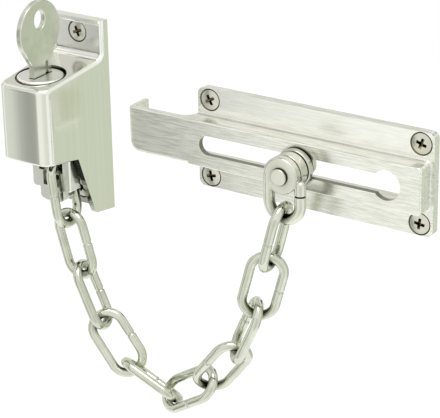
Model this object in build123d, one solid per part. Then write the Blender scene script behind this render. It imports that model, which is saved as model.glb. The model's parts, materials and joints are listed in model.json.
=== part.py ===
import os
from math import asin, cos, degrees, radians, sin

from build123d import *

os.makedirs("parts", exist_ok=True)

# frame: the wall is y = 0, the front is -y, +x runs along the track, +z is up
# origin: the centre of the track plate's back face

# modelling aids
over = 1.0               # how far a cut runs past what it cuts
sunk = 0.5               # how far a joined piece runs into its neighbour
near = 0.02              # how near an edge lies to a plane to count as on it
top_near = 0.3           # the same for the housing's sloping top, past its arcs' sag

# track
plate_long = 86.0
plate_high = 34.0
plate_thick = 3.1
plate_corner = 2.2
channel_front = 9.5      # front face's distance from the wall
channel_high = 15.8
channel_wall = 1.8
channel_end_step = 1.1   # the plate's right end past the channel's end wall
front_wall = 2.0
cavity_end_wall = 2.0
edge_round = 0.6
junction_round = 0.8
channel_corner = 1.5
arm_past_plate = 23.7
arm_corner = 4.0
arm_bend = 1.6
tab_thick = 1.9
tab_wall_gap = 0.3
web_round = 5.0          # concave end of the channel's walls beside the arm
slot_high = 6.66
slot_end_inset = 4.4     # slot's left end from the plate's left end
keyhole_inset = 12.0     # keyhole's middle from the channel's right end
keyhole_dia = 9.9
screw_end_inset = 4.6    # track screws from the plate's ends
screw_edge_inset = 3.85

# screws, the same for the track and the housing
head_dia = 7.0
shank_dia = 3.2
thread_dia = 3.5         # behind the wall's plane
head_depth = 1.75
head_crown = 0.35
head_sunk = 0.15
recess_dia = 3.6
recess_arm = 0.9
recess_deep = 0.9
screw_behind = 3.5       # thread past the wall's plane
tip_long = 0.9
tip_dia = 1.6
sink_clear = 0.32        # countersink past the head, on the radius
hole_clear = 0.2         # hole past the thread, on the radius

# slider
slider_x = -1.6
slide_gap = 0.35         # head and flange from the front wall
neck_clear = 0.2
stud_head_dia = 9.2
stud_head_thick = 2.2
flange_dia = 12.4
flange_thick = 2.4
spool_dia = 11.9
spool_thick = 3.9
spool_gap = 0.4
spool_rim = 0.5
stud_pin_dia = 5.0
pin_fit = 0.06
rivet_dia = 5.4
rivet_thick = 0.95
rivet_gap = 0.12         # rivet's head from the eye's face
rivet_crown = 0.4
eye_gap = 0.35
eye_dia = 12.2
eye_thick = 3.2
eye_round = 0.7
loop_wire = 3.7
loop_left = -4.7         # left leg's centre from the stud's axis
loop_right = 6.6
loop_low = -14.6
loop_end = -5.8          # top of the right leg
loop_seam = 0.45         # between that leg and the disc's ear over it
ear_top = -2.4
loop_start = -1.0

# chain, angles from straight down, link 1 at the block
wire = 3.2
link_long = 25.8
link_wide = 14.1
link_gap = 0.4           # between the wires of two links in line
bend_gap = 0.024         # more of it for each degree between them
eye_link_gap = 0.5
seam_wide = 0.25
seam_deep = 0.3
hang_deg = (8, 16, 25, 39, 68, 122, 142, 155, 164, 165)
roll_deg = (90, -4, 104, 34, -55, 42, -42, 52, -25, 84)
seam_leg = (-1, 1, 1, 1, -1, -1, 1, 1, -1, -1)
block_y = -17.0
block_pin_dia = 3.0
block_pin_gap = 1.2
pin_shift = 2.1          # first link to the right of the block's middle

# lock housing, x from its middle
back_half = 11.3
front_half = 10.0
housing_deep = 33.5
front_corner = 3.8
top_z = 32.8
rim_deep = 3.4
ledge_z = 19.8
front_top_z = 16.7
front_low_z = -9.6
step_y = -18.0
step_z = -11.2
fin_y = -10.0
fin_low_z = -33.3
foot_z = -34.7
ledge_round = 3.0
foot_round = 1.4
body_round = 1.6
housing_wall = 2.0
back_wall = 3.0
pocket_floor = 1.9
pocket_rim = 1.1
pocket_round = 1.2
roof_z = 4.2
upper_screw_z = 27.4
lower_screw_z = -28.6
rib_half = 4.0
rib_low_z = -9.0
guide_clear = 0.3

# lock, x from the housing's middle
lock_y = -22.4
lock_face_z = 18.0
face_dia = 15.6
face_thick = 1.5
face_edge = 0.6
ring_gap = 0.75
face_gap = 0.35
barrel_fit = 0.05
barrel_low_z = 4.4
face_lap = 1.0           # face of the plug over its own shank
plug_fit = 0.06
plug_step_z = 4.4
plug_low_z = 0.7
stub_dia = 4.6
keyway_floor_z = 5.3
keyway_clear = 0.25
wafer_count = 5
wafer_thick = 0.9
wafer_pitch = 1.6
wafer_top_z = 12.6
wafer_half_x = 2.4
wafer_end_inset = 0.7    # wafer ends inside the plug's shank
wafer_clear = 0.12
cam_thick = 1.9
cam_hub_dia = 4.6
cam_long = 5.6
cam_half = 1.0
cam_screw_dia = 2.4
cam_screw_deep = 1.6
cam_head_dia = 4.2
cam_head_thick = 1.3
cam_head_round = 0.4
cam_slot_wide = 0.6
cam_slot_deep = 0.6

# key
key_thick = 2.0
bow_dia = 20.4
bow_z = 33.2
bow_hole_y = 5.4
bow_hole_z = 6.4
bow_hole_up = 3.8        # above the bow's centre
neck_wide = 9.8
neck_z = 22.4
blade_wide = 9.0
blade_low_z = 5.8
blade_tip = 1.5
blade_tip_wide = 3.0
blade_groove_wide = 1.6
blade_groove_deep = 0.55
key_edge = 0.4

# end block, z from its pin
block_half = 8.1
block_deep = 5.6
block_low = -6.0
tongue_low = -9.7
tongue_half = 4.8
slot_half = 3.4
slot_floor = -4.6
window_half = 5.0
window_low = 0.6
block_drop = 2.2
window_top_clear = 0.5
bridge_thick = 1.6
stem_half = 4.0
stem_thick = 2.4
nose_half = 1.0
nose_thick = 2.0
nose_over = 2.0          # how far the nose stands over the cam
nose_clear = 1.2
pin_end_inset = 1.4
block_round = 0.5
block_foot_round = 1.6
tongue_round = 1.4


def box(x0, x1, y0, y1, z0, z1):
    return Pos((x0 + x1) / 2, (y0 + y1) / 2, (z0 + z1) / 2) * Box(x1 - x0, y1 - y0, z1 - z0)


def rod_y(dia, x, z, y0, y1):
    return Pos(x, (y0 + y1) / 2, z) * Rot(90, 0, 0) * Cylinder(dia / 2, y1 - y0)


def rod_z(dia, x, y, z0, z1):
    return Pos(x, y, (z0 + z1) / 2) * Cylinder(dia / 2, z1 - z0)


def cone_y(back_dia, front_dia, x, z, y0, y1):
    return Pos(x, (y0 + y1) / 2, z) * Rot(90, 0, 0) * Cone(back_dia / 2, front_dia / 2, y1 - y0)


def from_front(outline, y0, y1):
    # an outline drawn in x and z, extruded from y0 to y1
    return Pos(0, y1, 0) * extrude(Plane.XZ * outline, y1 - y0)


def one(shape):
    return shape.solids()[0] if len(shape.solids()) == 1 else shape


def sink(x, z, face_y):
    # room for a countersunk screw whose head sits under the face at face_y
    hole_dia = thread_dia + 2 * hole_clear
    cone = cone_y(hole_dia, head_dia + 2 * sink_clear, x, z, face_y, face_y + head_depth)
    return cone + rod_y(hole_dia, x, z, face_y, over)


def screw(x, z, face_y):
    front = face_y + head_sunk
    head = cone_y(shank_dia, head_dia, x, z, front, front + head_depth)
    ball = (head_dia * head_dia / 4 + head_crown * head_crown) / (2 * head_crown)
    cap = Pos(x, front - head_crown + ball, z) * Sphere(ball)
    crown = cap & rod_y(head_dia, x, z, front - head_crown, front)
    shank = rod_y(shank_dia, x, z, front + head_depth, 0)
    thread = rod_y(thread_dia, x, z, 0, screw_behind)
    tip = cone_y(tip_dia, thread_dia, x, z, screw_behind, screw_behind + tip_long)
    body = head + crown + shank + thread + tip
    top = front - head_crown
    for wide, high in ((recess_dia, recess_arm), (recess_arm, recess_dia)):
        body -= box(x - wide / 2, x + wide / 2, top - over, top + recess_deep, z - high / 2, z + high / 2)
    return one(body)


def save(shape, name):
    export_step(shape, f"parts/{name}.step")


# track: plate, channel, arm and tab in one casting
left = -plate_long / 2
right = plate_long / 2
half_high = channel_high / 2
channel_right = right - channel_end_step
arm_left = left - arm_past_plate
front_y = -channel_front
inner_y = front_y + front_wall
slot_left = left + slot_end_inset
keyhole_x = channel_right - keyhole_inset
track_screw_x = right - screw_end_inset
track_screw_z = plate_high / 2 - screw_edge_inset
plate = box(left, right, -plate_thick, 0, -plate_high / 2, plate_high / 2)
plate = fillet(plate.edges().filter_by(Axis.Y), plate_corner)
channel = box(left, channel_right, front_y, 0, -half_high, half_high)
corners = channel.edges().filter_by(Axis.Y).filter_by(lambda e: e.center().X > 0)
channel = fillet(corners, channel_corner)
track = plate + channel
joint_edges = track.edges().filter_by(
    lambda e: abs(e.center().Y + plate_thick) < near
    and abs(e.center().Z) < half_high + near
    and left + near < e.center().X < channel_right + near
)
track = fillet(joint_edges, junction_round)
arm_outline = Pos((arm_left + left) / 2, 0) * Rectangle(left - arm_left, channel_high)
low_corner = arm_outline.vertices().filter_by(lambda v: v.X < left - near and v.Y < 0)
arm_outline = fillet(low_corner, arm_corner)
arm = from_front(arm_outline, front_y, -tab_wall_gap)
arm -= box(arm_left + tab_thick, left, inner_y, 0, -half_high, half_high)
bend_edges = arm.edges().filter_by(Axis.Z).filter_by(lambda e: e.center().X < left - near)
arm = fillet(bend_edges.sort_by(Axis.Y)[0], arm_bend)
webs = Part()
for side in (-1, 1):
    z0 = side * (half_high - channel_wall / 2)
    web = box(left - web_round, left, inner_y, -plate_thick, z0 - channel_wall / 2, z0 + channel_wall / 2)
    hollow = Pos(left - web_round, inner_y + web_round, z0) * Cylinder(web_round, channel_wall + over)
    webs += web - hollow
track = track + arm + webs
cavity_half = half_high - channel_wall
cavity_right = channel_right - cavity_end_wall
track -= box(left - over, cavity_right, inner_y, over, -cavity_half, cavity_half)
slot_r = slot_high / 2
slot_cut = box(slot_left + slot_r, keyhole_x, front_y - over, inner_y + over, -slot_r, slot_r)
slot_cut += rod_y(slot_high, slot_left + slot_r, 0, front_y - over, inner_y + over)
slot_cut += rod_y(keyhole_dia, keyhole_x, 0, front_y - over, inner_y + over)
track -= slot_cut
front_edges = track.edges().filter_by(
    lambda e: abs(e.center().Y - front_y) < near and abs(abs(e.center().Z) - half_high) < near
)
track = fillet(front_edges, edge_round)
track_screws = []
for sx in (-1, 1):
    for sz in (-1, 1):
        track -= sink(sx * track_screw_x, sz * track_screw_z, -plate_thick)
        track_screws.append(screw(sx * track_screw_x, sz * track_screw_z, -plate_thick))
save(one(track), "track")
save(Compound(children=track_screws), "track_screws")

# slider: headed stud, spool round it and the eye that turns on it
head_y = inner_y + slide_gap
flange_y = front_y - slide_gap
spool_y = flange_y - flange_thick - spool_gap
eye_y = spool_y - spool_thick - eye_gap
eye_front = eye_y - eye_thick
rivet_y = eye_front - rivet_gap
neck_dia = slot_high - 2 * neck_clear
stud = rod_y(stud_head_dia, slider_x, 0, head_y, head_y + stud_head_thick)
stud = fillet(stud.edges(), edge_round)
stud += rod_y(neck_dia, slider_x, 0, flange_y, head_y)
flange = rod_y(flange_dia, slider_x, 0, flange_y - flange_thick, flange_y)
stud += fillet(flange.edges(), spool_rim)
stud += rod_y(stud_pin_dia, slider_x, 0, rivet_y, flange_y)
rivet = rod_y(rivet_dia, slider_x, 0, rivet_y - rivet_thick, rivet_y)
stud += fillet(rivet.edges().sort_by(Axis.Y)[0], rivet_crown)
spool = rod_y(spool_dia, slider_x, 0, spool_y - spool_thick, spool_y)
spool = fillet(spool.edges(), spool_rim)
spool -= rod_y(stud_pin_dia + 2 * pin_fit, slider_x, 0, spool_y - spool_thick - over, spool_y + over)
save(one(stud), "slider_stud")
save(one(spool), "slider_spool")

eye_mid = eye_y - eye_thick / 2
loop_r = (loop_right - loop_left) / 2
loop_x = slider_x + (loop_left + loop_right) / 2
loop_z = loop_low + loop_r
disc = rod_y(eye_dia, slider_x, 0, eye_front, eye_y)
disc = fillet(disc.edges(), eye_round)
bend = Pos(loop_x, eye_mid, loop_z) * Rot(-90, 0, 0) * Torus(loop_r, loop_wire / 2, major_angle=180, align=None)
legs = rod_z(loop_wire, slider_x + loop_left, eye_mid, loop_z, loop_start)
legs += Pos(slider_x + loop_left, eye_mid, loop_start) * Sphere(loop_wire / 2)
legs += rod_z(loop_wire, slider_x + loop_right, eye_mid, loop_z, loop_end)
legs += rod_z(loop_wire, slider_x + loop_right, eye_mid, loop_end + loop_seam, ear_top)
legs += Pos(slider_x + loop_right, eye_mid, ear_top) * Sphere(loop_wire / 2)
eye = disc + bend + legs
eye -= rod_y(stud_pin_dia + 2 * pin_fit, slider_x, 0, eye_front - over, eye_y + over)
save(one(eye), "eye")

# chain, walked from the eye's loop back to the block
link_axis = link_long - wire
link_bend = (link_wide - wire) / 2
hang = [radians(a) for a in hang_deg]
count = len(hang)
ends = [None] * count
pivots = [None] * count
eye_lap = wire / 2 + loop_wire / 2 + eye_link_gap
seat_r = loop_r - eye_lap
at = (loop_x - seat_r * sin(hang[-1]), loop_z + seat_r * cos(hang[-1]))
pivot_r = loop_r - eye_lap / 2
pivots[-1] = (loop_x - pivot_r * sin(hang[-1]), loop_z + pivot_r * cos(hang[-1]))
for i in reversed(range(count)):
    way = (sin(hang[i]), -cos(hang[i]))
    start = (at[0] - link_axis * way[0], at[1] - link_axis * way[1])
    ends[i] = (start, at)
    if i:
        before = (sin(hang[i - 1]), -cos(hang[i - 1]))
        lap = wire + link_gap + bend_gap * abs(hang_deg[i] - hang_deg[i - 1])
        pivots[i - 1] = tuple(start[k] + lap / 2 * way[k] for k in (0, 1))
        at = tuple(pivots[i - 1][k] + lap / 2 * before[k] for k in (0, 1))
pin_reach = block_pin_dia / 2 + block_pin_gap + wire / 2
first = ends[0][0]
block_x = first[0] + pin_reach * sin(hang[0]) - pin_shift
pin_z = first[1] - pin_reach * cos(hang[0])


def link(i):
    # one bent wire link with its butt seam in the middle of a leg
    half = link_axis / 2 - link_bend
    shape = Part()
    for side in (-1, 1):
        shape += Pos(0, side * link_bend, 0) * Rot(0, 90, 0) * Cylinder(wire / 2, 2 * half)
        bend = Torus(link_bend, wire / 2, major_angle=180, align=None)
        shape += Pos(side * half, 0, 0) * Rot(0, 0, -side * 90) * bend
    leg = Pos(0, seam_leg[i] * link_bend, 0) * Rot(0, 90, 0)
    shape -= leg * (Cylinder(wire, seam_wide) - Cylinder(wire / 2 - seam_deep, seam_wide))
    (x0, z0), (x1, z1) = ends[i]
    roll = radians(roll_deg[i])
    y = block_y + (eye_mid - block_y) * i / (count - 1)
    along = Vector(sin(hang[i]), 0, -cos(hang[i]))
    across = Vector(cos(hang[i]), 0, sin(hang[i])) * cos(roll) + Vector(0, 1, 0) * sin(roll)
    place = Plane(origin=((x0 + x1) / 2, y, (z0 + z1) / 2), x_dir=along, z_dir=along.cross(across))
    return place * shape


for i in range(count):
    save(one(link(i)), f"link_{i + 1}")

# lock housing
hx = block_x
plan = make_face(
    Polyline(
        (hx - back_half, 0),
        (hx - front_half, -housing_deep),
        (hx + front_half, -housing_deep),
        (hx + back_half, 0),
        close=True,
    )
)
plan = fillet(plan.vertices().filter_by(lambda v: v.Y < -near), front_corner)
plan_body = Pos(0, 0, foot_z - over) * extrude(plan, top_z - foot_z + 2 * over)
side = make_face(
    Polyline(
        (0, top_z),
        (-rim_deep, top_z),
        (-rim_deep, ledge_z),
        (-housing_deep, front_top_z),
        (-housing_deep, front_low_z),
        (step_y, step_z),
        (fin_y, fin_low_z),
        (0, foot_z),
        close=True,
    )
)
inner_corner = side.vertices().filter_by(lambda v: abs(v.X + rim_deep) < near and v.Y < top_z - near)
side = fillet(inner_corner, ledge_round)
side = fillet(side.vertices().filter_by(lambda v: abs(v.X - fin_y) < near), foot_round)
side_body = Pos(hx - back_half - over, 0, 0) * extrude(Plane.YZ * side, 2 * back_half + 2 * over)
housing = plan_body & side_body
slope = (ledge_z - front_top_z) / (housing_deep - rim_deep)
top_edges = housing.edges().filter_by(
    lambda e: e.center().Y < -rim_deep - ledge_round
    and abs(e.center().Z - (ledge_z + slope * (e.center().Y + rim_deep))) < top_near
)
housing = fillet(top_edges, body_round)
inner_slope = (back_half - front_half) / housing_deep
inner_back = back_half - back_wall * inner_slope - housing_wall
inner_front = back_half - (housing_deep - housing_wall) * inner_slope - housing_wall
room = make_face(
    Polyline(
        (hx - inner_back, -back_wall),
        (hx - inner_front, -housing_deep + housing_wall),
        (hx + inner_front, -housing_deep + housing_wall),
        (hx + inner_back, -back_wall),
        close=True,
    )
)
room = fillet(room.vertices().filter_by(lambda v: v.Y < -housing_deep / 2), front_corner - housing_wall)
housing -= Pos(0, 0, foot_z - over) * extrude(room, roof_z - foot_z + over)
rib_front = block_y + block_deep / 2 + guide_clear
housing += box(hx - rib_half, hx + rib_half, rib_front, -back_wall + sunk, rib_low_z, roof_z + sunk)
pocket_half = back_half - pocket_rim
pocket = box(hx - pocket_half, hx + pocket_half, -rim_deep - over, -pocket_floor, ledge_z, top_z - pocket_rim)
pocket = fillet(pocket.edges().filter_by(lambda e: abs(e.center().Y + pocket_floor) < near), pocket_round)
housing -= pocket
bore_dia = face_dia + 2 * ring_gap
housing -= rod_z(bore_dia, hx, lock_y, roof_z - over, top_z)
housing -= sink(hx, upper_screw_z, -pocket_floor)
housing -= sink(hx, lower_screw_z, -back_wall)
housing_screws = [screw(hx, upper_screw_z, -pocket_floor), screw(hx, lower_screw_z, -back_wall)]
save(one(housing), "lock_housing")
save(Compound(children=housing_screws), "housing_screws")

# lock: fixed barrel, turning plug with wafers, cam under it, key in it
plug_dia = face_dia - 2 * face_lap
wafer_half_y = plug_dia / 2 - wafer_end_inset
barrel_top = lock_face_z - face_thick - face_gap
barrel = rod_z(bore_dia - 2 * barrel_fit, hx, lock_y, barrel_low_z, barrel_top)
barrel -= rod_z(plug_dia + 2 * plug_fit, hx, lock_y, barrel_low_z - over, barrel_top + over)
save(one(barrel), "lock_barrel")

face_low = lock_face_z - face_thick
face = rod_z(face_dia, hx, lock_y, face_low, lock_face_z)
face = fillet(face.edges().sort_by(Axis.Z)[-1], face_edge)
plug = face + rod_z(plug_dia, hx, lock_y, plug_step_z, face_low)
plug += rod_z(stub_dia, hx, lock_y, plug_low_z, plug_step_z)
way_x = key_thick / 2 + keyway_clear
way_y = blade_wide / 2 + keyway_clear
plug -= box(hx - way_x, hx + way_x, lock_y - way_y, lock_y + way_y, keyway_floor_z, lock_face_z + over)
ward_x = key_thick / 2 - blade_groove_deep + keyway_clear
ward_y = blade_groove_wide / 2 - keyway_clear
for s in (-1, 1):
    ward = box(ward_x, way_x + sunk, -ward_y, ward_y, keyway_floor_z, lock_face_z - face_edge)
    plug += Pos(hx, lock_y + s * blade_wide / 4, 0) * (ward if s > 0 else mirror(ward, about=Plane.YZ))
wafers = []
for n in range(wafer_count):
    z0 = wafer_top_z - n * wafer_pitch - wafer_thick
    room_x = wafer_half_x + wafer_clear
    room_y = wafer_half_y + wafer_clear
    plug -= box(
        hx - room_x, hx + room_x, lock_y - room_y, lock_y + room_y,
        z0 - wafer_clear, z0 + wafer_thick + wafer_clear,
    )
    wafer = box(
        hx - wafer_half_x, hx + wafer_half_x, lock_y - wafer_half_y, lock_y + wafer_half_y,
        z0, z0 + wafer_thick,
    )
    wafer -= box(hx - way_x, hx + way_x, lock_y - way_y, lock_y + way_y, z0 - over, z0 + wafer_thick + over)
    wafers.append(one(wafer))
plug -= rod_z(cam_screw_dia, hx, lock_y, plug_low_z - over, plug_low_z + cam_screw_deep)
save(one(plug), "lock_plug")
save(Compound(children=wafers), "lock_wafers")

cam_low = plug_low_z - cam_thick
cam = rod_z(cam_hub_dia, hx, lock_y, cam_low, plug_low_z)
cam += box(hx - cam_half, hx + cam_half, lock_y, lock_y + cam_long, cam_low, plug_low_z)
cam -= rod_z(cam_screw_dia, hx, lock_y, cam_low - over, plug_low_z + over)
save(one(cam), "lock_cam")
cam_screw = rod_z(cam_screw_dia, hx, lock_y, cam_low, plug_low_z + cam_screw_deep)
cam_head = rod_z(cam_head_dia, hx, lock_y, cam_low - cam_head_thick, cam_low)
cam_screw += fillet(cam_head.edges().sort_by(Axis.Z)[0], cam_head_round)
slot_z = cam_low - cam_head_thick
slot_y = cam_slot_wide / 2
cam_screw -= box(
    hx - cam_head_dia, hx + cam_head_dia, lock_y - slot_y, lock_y + slot_y,
    slot_z - over, slot_z + cam_slot_deep,
)
save(one(cam_screw), "cam_screw")

bow = Pos(lock_y, bow_z) * Circle(bow_dia / 2)
reach = bow_z - neck_z
lean = degrees(asin((bow_dia - neck_wide) / 2 / reach))
wide_y = bow_dia / 2 * cos(radians(lean))
wide_z = bow_z - bow_dia / 2 * sin(radians(lean))
bow += make_face(
    Polyline(
        (lock_y - wide_y, wide_z),
        (lock_y - neck_wide / 2, neck_z),
        (lock_y + neck_wide / 2, neck_z),
        (lock_y + wide_y, wide_z),
        close=True,
    )
)
bow -= Pos(lock_y, bow_z + bow_hole_up) * Ellipse(bow_hole_y / 2, bow_hole_z / 2)
key = Pos(hx - key_thick / 2, 0, 0) * extrude(Plane.YZ * bow, key_thick)
key = fillet(key.edges().filter_by(lambda e: abs(abs(e.center().X - hx) - key_thick / 2) < near), key_edge)
blade_y = blade_wide / 2
blade_side = make_face(
    Polyline(
        (lock_y - blade_y, neck_z + over),
        (lock_y - blade_y, blade_low_z + blade_tip),
        (lock_y - blade_y + blade_tip_wide, blade_low_z),
        (lock_y + blade_y - blade_tip_wide, blade_low_z),
        (lock_y + blade_y, blade_low_z + blade_tip),
        (lock_y + blade_y, neck_z + over),
        close=True,
    )
)
key += Pos(hx - key_thick / 2, 0, 0) * extrude(Plane.YZ * blade_side, key_thick)
for s in (-1, 1):
    groove = box(
        key_thick / 2 - blade_groove_deep, key_thick, -blade_groove_wide / 2, blade_groove_wide / 2,
        blade_low_z - over, neck_z,
    )
    key -= Pos(hx, lock_y + s * blade_wide / 4, 0) * (groove if s > 0 else mirror(groove, about=Plane.YZ))
save(one(key), "key")

# end block: window and pin for the first link, stem and nose for the cam
link_top = pin_z + pin_reach + wire / 2
window_top = link_top + block_drop + window_top_clear
bridge_top = window_top + bridge_thick
block_back = block_y + block_deep / 2
block_front = block_y - block_deep / 2
stem_y = block_back - stem_thick
nose_low = plug_low_z + nose_clear
nose_top = nose_low + nose_thick
body_low = pin_z + block_low
block = box(hx - block_half, hx + block_half, block_front, block_back, body_low, bridge_top)
block = fillet(block.edges().filter_by(Axis.Y).sort_by(Axis.Z)[:2], block_foot_round)
tongue = box(hx - tongue_half, hx + tongue_half, block_front, block_back, pin_z + tongue_low, body_low + sunk)
tongue = fillet(tongue.edges().filter_by(Axis.Y).sort_by(Axis.Z)[:2], tongue_round)
block = fillet(block.edges().filter_by(Axis.Z), block_round) + tongue
block -= box(
    hx - window_half, hx + window_half, block_front - over, block_back + over, pin_z + window_low, window_top
)
block -= box(
    hx - slot_half, hx + slot_half, block_front - over, block_back + over, pin_z + slot_floor, pin_z + window_low
)
block += box(hx - stem_half, hx + stem_half, stem_y, block_back, bridge_top, nose_top)
nose_front = lock_y + cam_long - nose_over
block += box(hx - nose_half, hx + nose_half, nose_front, stem_y, nose_low, nose_top)
pin_half = block_half - pin_end_inset
pin = Pos(hx, block_y, pin_z) * Rot(0, 90, 0) * Cylinder(block_pin_dia / 2, 2 * pin_half)
block -= pin
save(one(block), "end_block")
save(one(pin), "block_pin")

print("housing middle x", round(hx, 3), "pin z", round(pin_z, 3), "eye plane y", round(eye_mid, 3))
print("block back and front y", round(block_back, 3), round(block_front, 3), "link top z", round(link_top, 3))
for i, (x, z) in enumerate(pivots):
    print("pivot past link", i + 1, round(x, 3), round(z, 3))
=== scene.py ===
import json
import math

import bmesh
import bpy
from mathutils import Matrix, Vector


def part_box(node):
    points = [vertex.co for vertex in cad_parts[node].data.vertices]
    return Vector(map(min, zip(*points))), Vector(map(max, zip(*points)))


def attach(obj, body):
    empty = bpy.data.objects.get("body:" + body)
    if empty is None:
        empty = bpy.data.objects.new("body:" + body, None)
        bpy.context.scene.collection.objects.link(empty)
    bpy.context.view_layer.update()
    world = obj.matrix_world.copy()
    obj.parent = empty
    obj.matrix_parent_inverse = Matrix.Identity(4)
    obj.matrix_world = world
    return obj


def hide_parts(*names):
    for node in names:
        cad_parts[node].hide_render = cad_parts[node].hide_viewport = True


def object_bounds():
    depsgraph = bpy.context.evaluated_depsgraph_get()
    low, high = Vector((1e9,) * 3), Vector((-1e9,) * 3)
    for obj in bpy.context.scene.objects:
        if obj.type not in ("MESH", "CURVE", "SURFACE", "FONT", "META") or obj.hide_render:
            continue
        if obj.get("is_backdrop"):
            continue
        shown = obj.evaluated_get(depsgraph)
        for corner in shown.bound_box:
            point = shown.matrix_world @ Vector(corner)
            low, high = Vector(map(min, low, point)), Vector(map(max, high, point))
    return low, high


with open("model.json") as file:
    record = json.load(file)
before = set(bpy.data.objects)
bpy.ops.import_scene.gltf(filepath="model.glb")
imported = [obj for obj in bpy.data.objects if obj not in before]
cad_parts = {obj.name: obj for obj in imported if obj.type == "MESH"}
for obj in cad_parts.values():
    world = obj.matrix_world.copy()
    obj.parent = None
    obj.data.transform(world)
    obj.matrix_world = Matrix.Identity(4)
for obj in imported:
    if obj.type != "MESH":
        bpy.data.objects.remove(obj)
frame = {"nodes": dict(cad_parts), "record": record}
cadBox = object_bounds()
nodes = frame["nodes"]
subparts = {part["node"]: part for part in frame["record"]["subparts"]}
bodyOf = {name: body for body, names in frame["record"]["behaviour"]["bodies"].items() for name in names}
scene = bpy.context.scene
print("frame loaded", len(nodes), "nodes")


class Socket:
    # one output of a node, with arithmetic that adds Math nodes
    def __init__(self, graph, socket):
        self.graph = graph
        self.socket = socket

    def maths(self, operation, first, second=0.0):
        return self.graph.add("ShaderNodeMath", {"operation": operation}, {0: first, 1: second})

    def __add__(self, other):
        return self.maths("ADD", self, other)

    def __radd__(self, other):
        return self.maths("ADD", other, self)

    def __sub__(self, other):
        return self.maths("SUBTRACT", self, other)

    def __rsub__(self, other):
        return self.maths("SUBTRACT", other, self)

    def __mul__(self, other):
        return self.maths("MULTIPLY", self, other)

    def __rmul__(self, other):
        return self.maths("MULTIPLY", other, self)

    def __truediv__(self, other):
        return self.maths("DIVIDE", self, other)

    def __rtruediv__(self, other):
        return self.maths("DIVIDE", other, self)

    def __gt__(self, other):
        return self.maths("GREATER_THAN", self, other)

    def __lt__(self, other):
        return self.maths("LESS_THAN", self, other)

    def __abs__(self):
        return self.maths("ABSOLUTE", self)

    def atLeast(self, other):
        return self.maths("MAXIMUM", self, other)

    def atMost(self, other):
        return self.maths("MINIMUM", self, other)

    def named(self, key):
        # another output of the same node
        return Socket(self.graph, self.socket.node.outputs[key])


class Graph:
    # a node tree of any kind
    def __init__(self, tree):
        self.tree = tree

    def add(self, kind, settings=None, inputs=None, output=0):
        made = self.tree.nodes.new(kind)
        for key, value in (settings or {}).items():
            if key == "stops":
                elements = made.color_ramp.elements
                while len(elements) < len(value):
                    elements.new(0.5)
                for spot, (place, colour) in zip(elements, value):
                    spot.position = place
                    spot.color = colour
            else:
                setattr(made, key, value)
        for key, value in (inputs or {}).items():
            if isinstance(value, Socket):
                self.tree.links.new(value.socket, made.inputs[key])
            else:
                made.inputs[key].default_value = value
        return Socket(self, made.outputs[output])


class Paint(Graph):
    # one material
    def __init__(self, name, **constants):
        self.material = bpy.data.materials.new(name)
        self.material.use_nodes = True
        super().__init__(self.material.node_tree)
        self.shader = self.tree.nodes["Principled BSDF"]
        for key, value in constants.items():
            self.shader.inputs[key].default_value = value

    def feed(self, name, value):
        self.tree.links.new(value.socket, self.shader.inputs[name])

    def surface(self, value):
        # another shader in place of the usual one
        self.tree.links.new(value.socket, self.tree.nodes["Material Output"].inputs["Surface"])

    def noise(self, scale, detail=2.0, rough=0.5):
        spot = self.add("ShaderNodeTexCoord", output=3)
        vector = self.add("ShaderNodeMapping", inputs={"Vector": spot, "Scale": scale})
        values = {"Vector": vector, "Scale": 1.0, "Detail": detail, "Roughness": rough}
        return self.add("ShaderNodeTexNoise", inputs=values)

    def mixed(self, factor, first, second):
        return self.add("ShaderNodeMix", {"data_type": "RGBA"}, {0: factor, 6: first, 7: second}, output=2)

    def crevice(self, reach):
        # ambient occlusion as painted shade: 0 in the open, 1 deep in a gap
        exposed = self.add("ShaderNodeAmbientOcclusion", {"samples": 6}, {"Distance": reach}, output=1)
        return 1 - exposed

    def attribute(self, name):
        return self.add("ShaderNodeAttribute", {"attribute_name": name}, output=2)


def rgb(red, green, blue):
    return (red, green, blue, 1.0)


def evenly(value):
    return (value, value, value)


def streaked(fine, along, axis):
    # noise scale for streaks that run along one axis
    scale = [fine] * 3
    scale[axis] = along
    return scale


# satin nickel: the tones of painted shade in gaps, in the screws' cross recesses, on the track's slot walls
# and seats and in the housing, and of painted light on bright faces
paintedShadeTone = rgb(0.045, 0.045, 0.028)
recessShadeTone = rgb(0.14, 0.115, 0.06)
trackShadeTone = rgb(0.085, 0.082, 0.042)
housingShadeTone = rgb(0.010, 0.010, 0.006)
paintedLightTone = rgb(0.975, 0.975, 0.935)
fineNoise = {"detail": 3.0, "rough": 0.6}
roughSpread = 0.1
# streaks per metre across and along, their contrast and relief
trackBrush = {
    "axis": 0, "fine": 1900.0, "along": 130.0, "contrast": 4.2,
    "broad": 700.0, "broadAlong": 39.0, "bandContrast": 1.0, "relief": 0.5, "deep": 0.00004,
}
housingBrush = {
    "axis": 2, "fine": 900.0, "along": 9.0, "contrast": 0.6,
    "broad": 260.0, "broadAlong": 2.7, "bandContrast": 0.6, "relief": 0.06, "deep": 0.00004,
}
tumbled = {"cloud": 160.0, "contrast": 1.4, "ripple": 420.0, "relief": 0.06, "deep": 0.00006}
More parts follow.
